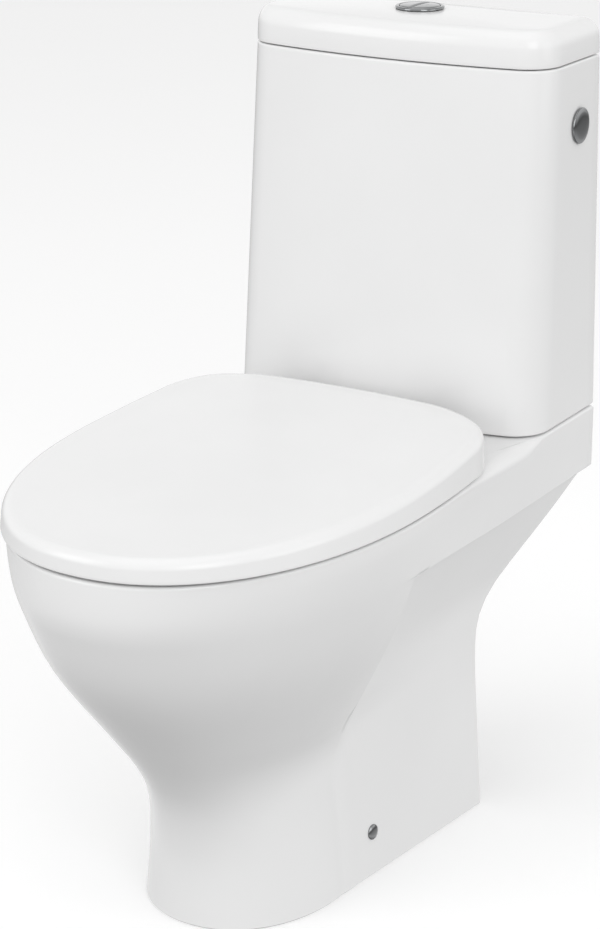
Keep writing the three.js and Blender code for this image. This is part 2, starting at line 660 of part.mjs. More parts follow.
function ringTop(y) {
  return THREE.MathUtils.mapLinear(y, -DEPTH / 2, 104, 415, 421);
}

function seatRing() {
  const rear = 104;
  const levels = [[0, 1.6], [1.5, 0], [7, 0.4], [-2, 3], [-0.4, 6], [0, 10]];
  const outer = loft(
    levels.map(([rise, inset], level) =>
      seatOutline(RING_INSET + inset, rear, 48).map(([x, y]) => [x, y, (level < 3 ? RING_BOTTOM : ringTop(y)) + rise]),
    ),
  );
  const holeLevels = [[-2, 0], [1.5, 0], [3.5, 0.8], [8, 6]];
  const hole = loft(
    holeLevels.map(([rise, grow], level) =>
      egg({
        z: 0,
        halfWidth: 110 + grow,
        widest: -96,
        front: -262 - grow,
        rear: 44 + grow,
        nose: 2.15,
        heel: 2.3,
        points: 32,
      }).map(([x, y]) => [x, y, level < 1 ? RING_BOTTOM + rise : ringTop(y) - 6 + rise]),
    ),
  );
  let body = outer.subtract(hole);
  for (const [, side] of SIDES) {
    const [low, high] = side < 0 ? [-113, -96.5] : [96.5, 113];
    const axis = [HINGE_Y, HINGE_Z];
    body = join(
      body,
      box(low, high, rear - 12, HINGE_Y, 413, 419),
      rod({ r: 10, low, high, at: axis, axis: "x", segments: 24 }),
    );
    const bore = side < 0 ? [-112, -90] : [90, 112];
    body = body.subtract(
      rod({ r: PIN_R + GAP, low: bore[0], high: bore[1], at: axis, axis: "x", segments: 16 }),
    );
  }
  return body;
}

function seatPads() {
  for (const [name, side] of SIDES) {
    for (const [end, x, y] of [["front", 112, -232], ["rear", 152, 10]]) {
      const pad = rod({ r: 8, low: RIM_Z + GAP, high: RING_BOTTOM - 0.3, at: [side * x, y], segments: 16 });
      place(`ring_buffer_${end}_${name}`, pad, softPad);
    }
    for (const [end, x, y] of [["front", 60, -264], ["rear", 138, -40]]) {
      const [low, high] = [ringTop(y) + 0.5, lidTop(side * x, y) - LID_PLATE - 0.8];
      place(`lid_buffer_${end}_${name}`, rod({ r: 5, low, high, at: [side * x, y], segments: 16 }), softPad);
    }
  }
}

// ---------------------------------------------------------------- seat hinges
function seatHinges() {
  const underPlate = RIM_Z - PLATE;
  for (const [name, side] of SIDES) {
    const x = side * HINGE_X;
    const spot = [x, FIXING_HOLE_Y];
    const axis = [HINGE_Y, HINGE_Z];
    let post = join(
      box(x - 16, x + 16, HINGE_Y - 12, FIXING_HOLE_Y + 17, RIM_Z + GAP, 407),
      box(x - 16, x + 16, HINGE_Y - 10.6, HINGE_Y - 4.5, 406, HINGE_Z),
      rod({ r: 11, low: x - 16, high: x + 16, at: axis, axis: "x", segments: 24 }),
    );
    post = post.subtract(rod({ r: PIN_R + GAP, low: x - 20, high: x + 20, at: axis, axis: "x", segments: 16 }));
    post = post.subtract(rod({ r: 4.4, low: RIM_Z - 5, high: 408, at: spot, segments: 12 }));
    place(`hinge_post_${name}`, post, chrome);
    const [low, high] = side < 0 ? [-110, -40] : [40, 110];
    place(`hinge_pin_${name}`, rod({ r: PIN_R, low, high, at: axis, axis: "x", segments: 16 }), steel);
    const bolt = join(
      rod({ r: 4, low: 350, high: 408, at: spot, segments: 12 }),
      rod({ r: 7, low: 407.4, high: 409.4, at: spot, segments: 16 }),
    );
    place(`hinge_bolt_${name}`, bolt, steel);
    const washer = rod({ r: 12, bore: 4.4, low: underPlate - 2.4, high: underPlate - GAP, at: spot, segments: 16 });
    place(`hinge_washer_${name}`, washer, rubber);
    place(`hinge_wing_nut_${name}`, wingNut(underPlate - 10.8, spot), whitePlastic);
  }
}

// ---------------------------------------------------------------- floor fixing
function floorFixing() {
  for (const [name, side] of SIDES) {
    const foot = box(46, 78, FIXING_Y - 22, FIXING_Y + 22, 0, 6);
    const upright = box(71, 78, FIXING_Y - 22, FIXING_Y + 22, 5, 62);
    let bracket = join(foot, upright);
    bracket = onSide(bracket, side);
    bracket = bracket.subtract(sideFixing(side, { r: 3.4, low: -40, high: 0 }));
    const spot = [side * 58, FIXING_Y];
    bracket = bracket.subtract(rod({ r: 3.4, low: -1, high: 8, at: spot, segments: 12 }));
    place(`floor_bracket_${name}`, bracket, whitePlastic);
    const screw = join(
      rod({ r: 3, low: 0.5, high: 7, at: spot, segments: 12 }),
      rod({ r: 6, low: 6.4, high: 9.6, at: spot, segments: 16 }),
    );
    place(`floor_bracket_screw_${name}`, screw, steel);
    place(`side_fixing_screw_${name}`, sideFixing(side, { r: 3, low: -36, high: -1 }), steel);
    const cap = join(
      sideFixing(side, { r: 7.6, low: 0.4, high: 2.2, segments: 24 }),
      sideFixing(side, { r: 6.2, low: 2, high: 3.2, segments: 24 }),
    );
    place(`side_fixing_cap_${name}`, cap, chrome);
  }
}

place("pan", pan(), china);
place("cistern_tank", cisternTank(), china);
place("cistern_lid", cisternLid(), china);
place("seat_lid", seatLid(), duroplast);
place("seat_ring", seatRing(), duroplast);
seatPads();
coupling();
flushValve();
fillValve();
inletPlug();
pushButton();
seatHinges();
floorFixing();

export default toilet;
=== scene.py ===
import json
import math

import bmesh
import bpy
from mathutils import Matrix, Vector


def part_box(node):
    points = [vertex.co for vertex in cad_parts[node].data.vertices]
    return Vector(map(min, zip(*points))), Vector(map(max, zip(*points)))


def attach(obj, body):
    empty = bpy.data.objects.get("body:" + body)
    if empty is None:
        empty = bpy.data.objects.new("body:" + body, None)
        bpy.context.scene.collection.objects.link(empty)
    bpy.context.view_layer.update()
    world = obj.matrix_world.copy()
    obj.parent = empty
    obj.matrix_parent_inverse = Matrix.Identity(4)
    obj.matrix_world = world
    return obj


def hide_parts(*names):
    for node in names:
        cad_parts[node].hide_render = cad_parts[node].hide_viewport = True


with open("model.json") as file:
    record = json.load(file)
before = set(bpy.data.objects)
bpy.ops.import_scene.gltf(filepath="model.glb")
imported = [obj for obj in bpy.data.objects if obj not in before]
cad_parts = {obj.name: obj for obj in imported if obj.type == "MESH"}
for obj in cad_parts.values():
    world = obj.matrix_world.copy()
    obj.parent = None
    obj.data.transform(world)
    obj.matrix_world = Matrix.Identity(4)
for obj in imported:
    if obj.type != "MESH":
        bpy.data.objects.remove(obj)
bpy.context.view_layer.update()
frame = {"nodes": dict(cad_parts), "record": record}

# The looks of a close coupled toilet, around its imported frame. Shapes are worked out in millimetres, in the
# frame's axes (+Z up, +Y to the wall, the bowl's nose to -Y), and turned into metres when a mesh is made.
MM = 0.001

# ---------------------------------------------------------------- sizes taken from the frame
def box_mm(node):
    low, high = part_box(node)
    return [v / MM for v in low], [v / MM for v in high]


def middle_mm(node):
    low, high = box_mm(node)
    return Vector([(a + b) / 2 for a, b in zip(low, high)])


def side_fixing(name):
    """The middle of a floor fixing's cap and the direction it faces."""
    cap = middle_mm(f"side_fixing_cap_{name}")
    return cap, (cap - middle_mm(f"side_fixing_screw_{name}")).normalized()


PAN_LOW, PAN_HIGH = box_mm("pan")
TANK_LOW, TANK_HIGH = box_mm("cistern_tank")
CLID_LOW, CLID_HIGH = box_mm("cistern_lid")
SLID_LOW, SLID_HIGH = box_mm("seat_lid")
BEZEL_LOW, BEZEL_HIGH = box_mm("button_bezel")
CAP_LOW, CAP_HIGH = box_mm("side_inlet_cap")
PIN_LOW, PIN_HIGH = box_mm("hinge_pin_right")
BOLT_LOW, BOLT_HIGH = box_mm("hinge_bolt_right")
CISTERN_BOLT_LOW, CISTERN_BOLT_HIGH = box_mm("cistern_bolt_right")

WALL = PAN_HIGH[1]
RIM_Z = PAN_HIGH[2]
FLUSH_Y = (BEZEL_LOW[1] + BEZEL_HIGH[1]) / 2
INLET_Y = (CAP_LOW[1] + CAP_HIGH[1]) / 2
INLET_Z = (CAP_LOW[2] + CAP_HIGH[2]) / 2
HINGE_Y = (PIN_LOW[1] + PIN_HIGH[1]) / 2
HINGE_Z = (PIN_LOW[2] + PIN_HIGH[2]) / 2
SEAT_BOLT_X = (BOLT_LOW[0] + BOLT_HIGH[0]) / 2
SEAT_BOLT_Y = (BOLT_LOW[1] + BOLT_HIGH[1]) / 2
CISTERN_BOLT_X = (CISTERN_BOLT_LOW[0] + CISTERN_BOLT_HIGH[0]) / 2

PIN_RADIUS = (PIN_HIGH[2] - PIN_LOW[2]) / 2
TANK_BOTTOM, TANK_TOP = TANK_LOW[2], TANK_HIGH[2]

COUPLING_Z = 380  # floor of the recess under the cistern's gasket
BAND_Z = 337  # lower edge of the platform's side band
WIDEST_Y = -37  # where the bowl is widest
CHINA = 10  # wall of the casting
PLATE = 14


# ---------------------------------------------------------------- curves
def profile(*points):
    """A smooth curve through (position, value) points, as a function."""
    s = [p[0] for p in points]
    v = [p[1] for p in points]
    last = len(points) - 1
    slope = [
        (v[min(i + 1, last)] - v[max(i - 1, 0)]) / (s[min(i + 1, last)] - s[max(i - 1, 0)])
        for i in range(last + 1)
    ]

    def value(at):
        i = 0
        while i < last - 1 and at > s[i + 1]:
            i += 1
        width = s[i + 1] - s[i]
        t = min(max((at - s[i]) / width, 0), 1)
        t2 = t * t
        t3 = t2 * t
        return (
            (2 * t3 - 3 * t2 + 1) * v[i]
            + (t3 - 2 * t2 + t) * width * slope[i]
            + (3 * t2 - 2 * t3) * v[i + 1]
            + (t3 - t2) * width * slope[i + 1]
        )

    return value


def mix(a, b, t):
    return a + (b - a) * t


def smooth(t):
    t = min(max(t, 0), 1)
    return t * t * (3 - 2 * t)


def mirrored(half):
    """A closed loop from its right half, which starts and ends on the middle line."""
    return half + [(-p[0], *p[1:]) for p in half[-2:0:-1]]


# ---------------------------------------------------------------- meshes
def add_mesh(name, points, faces, sharp_degrees=38):
    """A smooth-shaded object from points in millimetres, with edges sharp above an angle."""
    mesh = bpy.data.meshes.new(name)
    mesh.from_pydata([Vector(p) * MM for p in points], [], faces)
    bm = bmesh.new()
    bm.from_mesh(mesh)
    bmesh.ops.remove_doubles(bm, verts=bm.verts, dist=1e-6)
    bmesh.ops.recalc_face_normals(bm, faces=bm.faces)
    bm.to_mesh(mesh)
    bm.free()
    mesh.shade_smooth()
    mesh.set_sharp_from_angle(angle=math.radians(sharp_degrees))
    piece = bpy.data.objects.new(name, mesh)
    bpy.context.scene.collection.objects.link(piece)
    return piece


def grid_faces(rows, columns, first=0, keep=None, cyclic_rows=False):
    """Quads of a grid of points whose columns close on themselves."""
    faces = []
    for r in range(rows if cyclic_rows else rows - 1):
        for c in range(columns):
            if keep is None or keep(r, c):
                a, b = first + r * columns, first + ((r + 1) % rows) * columns
                d = (c + 1) % columns
                faces.append((a + c, a + d, b + d, b + c))
    return faces


def ring_body(name, loops, **shading):
    """A closed body whose section is itself a closed loop, swept round: a list of loops that wraps."""
    columns = len(loops[0])
    points = [p for loop in loops for p in loop]
    return add_mesh(name, points, grid_faces(len(loops), columns, cyclic_rows=True), **shading)


def cast_shell(name, outer, inner, keep):
    """A casting between an outer and an inner skin of the same grid, joined along their open edges."""
    rows, columns = len(outer), len(outer[0])
    size = rows * columns
    points = [p for loop in outer for p in loop] + [p for loop in inner for p in loop]
    faces = grid_faces(rows, columns, 0, keep)
    uses = {}
    for face in faces:
        for a, b in zip(face, face[1:] + face[:1]):
            uses[(a, b)] = True
    open_edges = [(a, b) for a, b in uses if (b, a) not in uses]
    faces = faces + [tuple(i + size for i in reversed(face)) for face in faces]
    faces += [(b, a, a + size, b + size) for a, b in open_edges]
    return add_mesh(name, points, faces)


def carve(piece, *tools, operation="DIFFERENCE", sharp_degrees=38):
    """Cuts the tools out of a piece, or joins them to it, and uses them up."""
    for tool in tools:
        modifier = piece.modifiers.new("carve", "BOOLEAN")
        modifier.operation = operation
        modifier.solver = "MANIFOLD"
        modifier.object = tool
        with bpy.context.temp_override(object=piece, active_object=piece):
            bpy.ops.object.modifier_apply(modifier=modifier.name)
        bpy.data.objects.remove(tool)
    piece.data.shade_smooth()
    piece.data.set_sharp_from_angle(angle=math.radians(sharp_degrees))
    return piece


def round_loop(radius, z, columns):
    """A circle about Z that starts at the front, with the point order of mirrored()."""
    turn = [2 * math.pi * i / columns for i in range(columns)]
    return [(radius * math.sin(a), -radius * math.cos(a), z) for a in turn]


def lathe(name, outline, columns=72, **shading):
    """A body turned about Z from (radius, height) points, closed on the axis or on itself round a bore."""
    loops = [round_loop(max(r, 1e-4), z, columns) for r, z in outline]
    hollow = min(r for r, _ in outline) > 0
    points = [p for loop in loops for p in loop]
    return add_mesh(name, points, grid_faces(len(loops), columns, cyclic_rows=hollow), **shading)


def place(piece, at, axis=(0, 0, 1)):
    """Turns a body made about Z to an axis and moves it to a point in millimetres."""
    turn = Vector((0, 0, 1)).rotation_difference(Vector(axis)).to_matrix().to_4x4()
    piece.data.transform(Matrix.Translation(Vector(at) * MM) @ turn)
    return piece


def bar(radius, low, high, at, axis="z", columns=48):
    """A plain round tool along an axis, for joining or cutting."""
    tool = lathe("tool", [(0, low), (radius, low), (radius, high), (0, high)], columns)
    if axis == "x":
        return place(tool, (0, *at), (1, 0, 0))
    return place(tool, (*at, 0))


def block(x, y, z):
    """A plain box tool between pairs of limits."""
    points = [(a, b, c) for a in x for b in y for c in z]
    faces = [(0, 1, 3, 2), (4, 6, 7, 5), (0, 4, 5, 1), (2, 3, 7, 6), (0, 2, 6, 4), (1, 5, 7, 3)]
    return add_mesh("tool", points, faces)


def arc(centre, radius, start, end, steps):
    """Points of an arc in a section, with its angles in degrees from the first axis."""
    turns = [math.radians(mix(start, end, i / steps)) for i in range(steps + 1)]
    return [(centre[0] + radius * math.cos(a), centre[1] + radius * math.sin(a)) for a in turns]


# ---------------------------------------------------------------- pan
bowl_half_width = profile(
    (0, 96), (60, 90), (120, 84), (160, 89), (200, 108), (280, 146), (340, 167), (400, 181)
)
bowl_nose = profile(
    (0, -163), (60, -161), (120, -174), (160, -197), (200, -228),
    (280, -291), (340, -319), (365, -326), (400, -325),
)
panel_recess = profile((0, 0), (140, 0), (190, 9), (230, 18), (280, 25), (BAND_Z, 25))
panel_rear = profile((0, 119), (100, 113), (180, 109), (220, 113), (240, 119), (280, 138), (BAND_Z, 167))
heel_line = profile((0, 199), (190, 200), (220, 212), (260, 252), (300, 287), (BAND_Z, 307))

basin_half_width = profile((118, 30), (160, 46), (200, 68), (260, 100), (320, 124), (370, 138), (400, 134))
basin_nose = profile(
    (118, -112), (160, -140), (200, -178), (260, -226), (320, -260), (370, -280), (400, -275)
)
basin_heel = profile((118, -38), (160, -14), (200, 8), (260, 34), (320, 54), (370, 68), (400, 64))

# the trap's middle line, as (y, z), and its bore
TRAP = (
    (-75, 118), (-62, 84), (-20, 70), (22, 92), (44, 140),
    (62, 190), (92, 222), (130, 206), (160, 184), (186, 180),
)
TRAP_R = 28
TRAP_ROWS = 40
OUTLET_Z = 180
SPIGOT_R = 51
SPIGOT_END = 240

FRONT_STEPS = 44  # columns along half of the bowl's front
STEP_SHARES = (0.06, 0.2, 0.4, 0.68, 1)  # columns across the step into the side panel
PANEL_STEPS = 24
CORNER_STEPS = 6
BACK_STEPS = 10
HEEL_COLUMN = FRONT_STEPS + len(STEP_SHARES) + PANEL_STEPS
HALF_COLUMNS = HEEL_COLUMN + CORNER_STEPS + BACK_STEPS

LOW_HEIGHTS = (
    0, 1.5, 12, 30, 50, 70, 90, 110, 128, 144, 160, 175,
    190, 205, 220, 235, 250, 265, 280, 295, 309, 321, 330,
)
# rows past the platform's lower edge: height in front, height behind, and how far out from panel to platform
LEDGE = ((336, 336.4, 0), (338, 337, 0.3), (340, 337, 0.85), (342, 337.8, 1), (344.5, 341, 1))
BASIN_HEIGHTS = (384, 370, 350, 330, 305, 280, 255, 230, 207, 185, 165, 148, 133)


def egg_point(share, half_width, widest, front, power=2.12):
    """A point of the bowl's front half: share 0 is the nose and 1 the widest place."""
    angle = share * math.pi / 2
    x = half_width * math.sin(angle) ** (2 / power)
    return x, widest + (front - widest) * math.cos(angle) ** (2 / power)


def bowl_half(z, inset):
    """The bowl's half plan from the nose to the widest place."""
    width, nose = bowl_half_width(z) - inset, bowl_nose(z) + inset
    return [egg_point(i / FRONT_STEPS, width, WIDEST_Y, nose) for i in range(FRONT_STEPS + 1)]


def low_half(z, inset):
    """Half of the plan below the platform: bowl front, step, side panel, and a line across the back."""
    half = bowl_half(z, inset)
    width = bowl_half_width(z) - inset
    spread = mix(3, 26, smooth((235 - z) / 75))  # how far back the step's fillet reaches
    end = (panel_rear(z) - inset, heel_line(z))
    start_y = WIDEST_Y + spread
    start = (mix(width - panel_recess(z), end[0], spread / (end[1] - WIDEST_Y)), start_y)
    if inset:
        half = [(min(x, start[0]), y) for x, y in half]
        width = half[-1][0]
    for t in STEP_SHARES:
        half.append((mix(width, start[0], 1 - (1 - t) ** 2.2), mix(WIDEST_Y, start_y, t)))
    for i in range(1, PANEL_STEPS + 1):
        half.append(tuple(mix(a, b, i / PANEL_STEPS) for a, b in zip(start, end)))
    across = CORNER_STEPS + BACK_STEPS
    for i in range(1, across + 1):
        half.append((end[0] * (1 - i / across), end[1]))
    return half


def band_half(z, inset):
    """Half of the platform's plan: bowl front, then sides that run back to nearly square rear corners."""
    rear_width = 170.6 - inset
    width = bowl_half_width(z) - inset
    half = bowl_half(z, inset)
    radius = 1
    end = WALL - inset
    side = [0.02, 0.05, 0.08, 0.11, 0.14] + [0.14 + 0.86 * i / PANEL_STEPS for i in range(1, PANEL_STEPS + 1)]
    for t in side:
        y = mix(WIDEST_Y, end - radius, t)
        half.append((mix(width, rear_width, smooth((y - WIDEST_Y) / 190)), y))
    for i in range(1, CORNER_STEPS + 1):
        angle = math.pi / 2 * i / CORNER_STEPS
        half.append((rear_width - radius * (1 - math.cos(angle)), end - radius * (1 - math.sin(angle))))
    for i in range(1, BACK_STEPS + 1):
        half.append(((rear_width - radius) * (1 - i / BACK_STEPS), end))
    return half


def even_turn(column):
    """The angle from the nose of a column of the basin, the trap and the spigot."""
    return math.pi * column / HALF_COLUMNS


def basin_half(z, margin):
    width = basin_half_width(z) + margin
    front = basin_nose(z) - margin
    rear = basin_heel(z) + margin
    widest = (front + rear) / 2 + 22
    half = []
    for i in range(HALF_COLUMNS + 1):
        across, along = math.sin(even_turn(i)), math.cos(even_turn(i))
        power, reach = (2 / 2.1, widest - front) if along > 0 else (2 / 2.2, rear - widest)
        y = widest - math.copysign(abs(along) ** power, along) * reach
        half.append((width * abs(across) ** power, y, z))
    return half


def trap_half(t, radius):
    """Half of a ring round the trap's middle line; the basin's nose side is the outside of its first bend."""
    spans = len(TRAP) - 1
    i = min(int(t * spans), spans - 1)
    u = t * spans - i
    p = [Vector(TRAP[min(max(i + k, 0), spans)]) for k in (-1, 0, 1, 2)]
    b, c, d = p[2] - p[0], 2 * p[0] - 5 * p[1] + 4 * p[2] - p[3], 3 * p[1] - p[0] - 3 * p[2] + p[3]
    at = p[1] + (b * u + c * u * u + d * u ** 3) / 2
    along = (b + 2 * c * u + 3 * d * u * u).normalized()
    half = []
    for k in range(HALF_COLUMNS + 1):
        out = radius * math.cos(even_turn(k))
        half.append((radius * math.sin(even_turn(k)), at.x + out * along.y, at.y - out * along.x))
    return half


def ledge_rows(inset):
    """The step out from the panels to the platform's lower edge. The bowl's front only passes by."""
    rows = []
    lift = PLATE - 4 if inset else 0
    for front_z, back_z, share in LEDGE:
        low, high, front = low_half(BAND_Z, inset), band_half(back_z, inset), band_half(front_z, inset)
        row = []
        for i, (a, b, f) in enumerate(zip(low, high, front)):
            past = smooth((i - FRONT_STEPS + 2) / 4)
            x, y = (f if i <= FRONT_STEPS else tuple(mix(p, q, share) for p, q in zip(a, b)))
            row.append((x, y, mix(front_z, back_z, past) + lift * share * smooth((i - HEEL_COLUMN + 1) / 2)))
        rows.append(row)
    return rows


def rim_rows(inset, top):
    """Over the edge: tight along the bowl, soft along the deck, tight again beside the cistern."""
    rows = []
    for turn in (0, 22.5, 45, 67.5, 90):
        angle = math.radians(turn)
        near, far = band_half(top - 4, inset), band_half(top - 4, inset + 20)
        row = []
        for a, b in zip(near, far):
            radius = mix(3, 3 if inset else 13, smooth((a[1] - 10) / 130) * smooth((215 - a[1]) / 40))
            share = radius * (1 - math.cos(angle)) / 20
            row.append((mix(a[0], b[0], share), mix(a[1], b[1], share), top - radius * (1 - math.sin(angle))))
        rows.append(row)
    return rows


def deck_rows(edge, hole):
    """Flat rows from the rim's edge to the basin's."""
    shares = (0.25, 0.5, 0.75, 1)
    return [[tuple(mix(p, q, t) for p, q in zip(a, b)) for a, b in zip(edge, hole)] for t in shares]


def pan_skin(wall):
    """The casting's skin from the foot up, over the rim, down the basin and along the trap to the spigot.
    A wall of 0 gives the side that faces the air, and the wall's thickness gives the other side."""
    top = RIM_Z - PLATE if wall else RIM_Z
    band_wall, basin_wall = (12, 8) if wall else (0, 0)
    rows = [[(x, y, z) for x, y in low_half(z, wall)] for z in LOW_HEIGHTS]
    if not wall:
        rows[0] = [(x, y, 0) for x, y in low_half(0, 1.5)[: HEEL_COLUMN + 1]] + rows[0][HEEL_COLUMN + 1 :]
    rows += ledge_rows(band_wall)
    rows += [[(x, y, z) for x, y in band_half(z, band_wall)] for z in (348, 356, 365, 374, 381)]
    rows += rim_rows(band_wall, top)
    edge = basin_half(top, basin_wall + 6)
    rows += deck_rows(rows[-1], edge)
    for z, grow in ((top - 0.6, 3.2), (top - 2.5, 1), (top - 6, 0)):
        rows.append([(x, y, z) for x, y, _ in basin_half(z, basin_wall + grow)])
    for z in BASIN_HEIGHTS:
        rows.append(basin_half(z, basin_wall))
    for i in range(TRAP_ROWS + 1):
        rows.append(trap_half(i / TRAP_ROWS, TRAP_R + (CHINA if wall else 0)))
    first = rows[-TRAP_ROWS - 1]
    above = rows[-TRAP_ROWS - 2]
    rows[-TRAP_ROWS - 1] = [tuple((p + q) / 2 for p, q in zip(a, b)) for a, b in zip(first, above)]
    bore = SPIGOT_R if wall else SPIGOT_R - 8
    for y in (188, 192, 215, SPIGOT_END - 1.5, SPIGOT_END):
        radius = bore - (1 if wall and y == SPIGOT_END else 0)
        turns = [even_turn(i) for i in range(HALF_COLUMNS + 1)]
        rows.append([(radius * math.sin(a), y, OUTLET_Z - radius * math.cos(a)) for a in turns])
    return [mirrored(row) for row in rows]


def flush_way():
    """A solid boss under the coupling with a solid duct to the basin, which ends inside the basin's wall."""
    duct = block((-40, 40), (40, FLUSH_Y), (342, RIM_Z - 8))
    boss = bar(54, 342, RIM_Z - 8, (0, FLUSH_Y))
    loops = [mirrored([(x, y, z) for x, y, _ in basin_half(min(z, 370), 3)]) for z in (330, 350, 370, RIM_Z)]
    columns = len(loops[0])
    caps = [tuple(range(columns)), tuple(range(3 * columns, 4 * columns))]
    basin = add_mesh("tool", [p for loop in loops for p in loop], grid_faces(4, columns) + caps)
    return carve(carve(duct, boss, operation="UNION"), basin)


def make_pan():
    around = 2 * HALF_COLUMNS

    def keep(row, column):
        across_the_back = HEEL_COLUMN <= column < around - HEEL_COLUMN
        return not (across_the_back and row < len(LOW_HEIGHTS))

    pan = cast_shell("pan_china", pan_skin(0), pan_skin(CHINA), keep)
    carve(pan, flush_way(), operation="UNION")
    holes = [
        bar(45.4, COUPLING_Z, RIM_Z + 1, (0, FLUSH_Y)),
        bar(33, COUPLING_Z - 28, RIM_Z + 1, (0, FLUSH_Y)),
        block((-30, 30), (50, FLUSH_Y), (COUPLING_Z - 28, COUPLING_Z)),
    ]
    for side, name in ((-1, "left"), (1, "right")):
        holes.append(bar(6, 370, 410, (side * CISTERN_BOLT_X, FLUSH_Y)))
        holes.append(bar(7, 370, 410, (side * SEAT_BOLT_X, SEAT_BOLT_Y)))
        holes.append(place(bar(5, -20, 20, (0, 0)), *side_fixing(name)))
    return carve(pan, *holes)


# ---------------------------------------------------------------- cistern
def cistern_half(z, inset):
    """Half the cistern's plan: bowed front, round front corners, straight sides, nearly square back."""
    up = min((z - TANK_BOTTOM) / (TANK_TOP - TANK_BOTTOM), 1)
    width = mix(170.2, 162.9, up) - inset
    front = mix(170.1, 193.7, up) + inset
    bow = mix(15.9, 11.9, up)
    corner = max(30.5 - inset, 4)
    flat = width - corner
    lean = math.atan(2 * bow / flat)
    radius = corner / (1 - math.sin(lean))
    half = [(flat * i / 14, front + bow * (i / 14) ** 2) for i in range(15)]
    for i in range(1, 17):
        angle = mix(lean, math.pi / 2, i / 16)
        across = flat + radius * (math.sin(angle) - math.sin(lean))
        half.append((across, front + bow + radius * (math.cos(lean) - math.cos(angle))))
    end, back = WALL - inset, 2
    start = half[-1][1]
    half += [(width, mix(start, end - back, i / 6)) for i in range(1, 7)]
    half += arc((width - back, end - back), back, 0, 90, 5)[1:]
    half += [((width - back) * (1 - i / 12), end) for i in range(1, 13)]
    return half


def cistern_loop(z, inset):
    return mirrored([(x, y, z) for x, y in cistern_half(z, inset)])


CISTERN_COLUMNS = len(cistern_loop(TANK_BOTTOM, 0))


def hole_loop(radius, z):
    """A circle round the flush valve's axis, to join up with the cistern's loops."""
    return [(x, y + FLUSH_Y, z) for x, y, z in round_loop(radius, z, CISTERN_COLUMNS)]


def between(first, last, *shares):
    return [[tuple(mix(p, q, t) for p, q in zip(a, b)) for a, b in zip(first, last)] for t in shares]


def make_tank():
    wall, floor = 9, TANK_BOTTOM + 13
    hole, foot = hole_loop(32.5, TANK_BOTTOM), cistern_loop(TANK_BOTTOM, 2.5)
    loops = [hole, *between(hole, foot, 0.35, 0.7, 1)]
    loops += [cistern_loop(TANK_BOTTOM + z, inset) for inset, z in arc((2.5, 2.5), 2.5, 250, 180, 4)]
    loops += [cistern_loop(mix(TANK_BOTTOM + 6, TANK_TOP - 2.5, i / 8), 0) for i in range(9)]
    loops += [cistern_loop(TANK_TOP - 1.8 + z, 1.8 - inset) for inset, z in arc((0, 0), 1.8, 0, 90, 4)]
    loops += [cistern_loop(TANK_TOP - z, wall - inset) for inset, z in ((1.5, 0), (0.4, 0.4), (0, 1.5))]
    loops += [cistern_loop(mix(TANK_TOP - 6, floor + 12, i / 6), wall) for i in range(7)]
    loops += [cistern_loop(floor + 10 + z, wall + 10 + inset) for inset, z in arc((0, 0), 10, 180, 270, 5)]
    inner = hole_loop(32.5, floor)
    loops += between(loops[-1], inner, 0.3, 0.65, 1)
    tank = ring_body("cistern_tank_china", loops)
    bolt_holes = [bar(6, 400, 430, (side * CISTERN_BOLT_X, FLUSH_Y)) for side in (-1, 1)]
    return carve(tank, bar(11.5, -180, 180, (INLET_Y, INLET_Z), "x"), *bolt_holes)


def make_cistern_lid():
    bottom, shoulder, underside, top = CLID_LOW[2] + 7.4, 769, 776, CLID_HIGH[2]
    lip, hollow, dome = 11.5, 16.5, 2.1
    loops = [cistern_loop(bottom + 1.6 + z, 1.6 + inset) for inset, z in arc((0, 0), 1.6, 270, 180, 4)]
    loops += [cistern_loop(z, inset) for z, inset in ((757, 0), (762, 0.1), (766, 0.3), (shoulder, 0.5))]
    for i in range(1, 13):
        turn = math.pi / 2 * i / 12
        rise = (top - dome - shoulder) * math.sin(turn) ** 1.05
        loops.append(cistern_loop(shoulder + rise, 0.5 + 14 * (1 - math.cos(turn))))
    shares = (0.12, 0.3, 0.5, 0.75, 1)
    for share, loop in zip(shares, between(loops[-1], hole_loop(22.8, top), *shares)):
        loops.append([(x, y, top - dome * (1 - smooth(share) ** 0.6)) for x, y, _ in loop])
    loops += [hole_loop(22, top - 0.8), hole_loop(22, underside)]
    loops += between(loops[-1], cistern_loop(underside, hollow), 0.5, 0.95, 1)
    loops += [cistern_loop(z, hollow) for z in (774, 760, 747)]
    loops += [cistern_loop(CLID_LOW[2], inset) for inset in (hollow - 1, lip + 1)]
    loops += [cistern_loop(z, lip) for z in (746, bottom)]
    loops += [cistern_loop(bottom, inset) for inset in (8, 3)]
    return ring_body("cistern_lid_china", loops)


# ---------------------------------------------------------------- push button and caps
def half_disc_loop(radius, gap, z, corner=1.5):
    """A loop round half a disc whose straight side stands a gap off the middle line."""
    reach = math.sqrt((radius - corner) ** 2 - (gap + corner) ** 2)
    lean = math.degrees(math.atan2(reach, gap + corner))
    points = arc((gap + corner, -reach), corner, 180, 360 - lean, 6)
    points += arc((0, 0), radius, -lean, lean, 40)[1:-1]
    points += arc((gap + corner, reach), corner, lean, 180, 6)
    points += [(gap, mix(reach, -reach, i / 12)) for i in range(1, 12)]
    return [(x, y, z) for x, y in points]


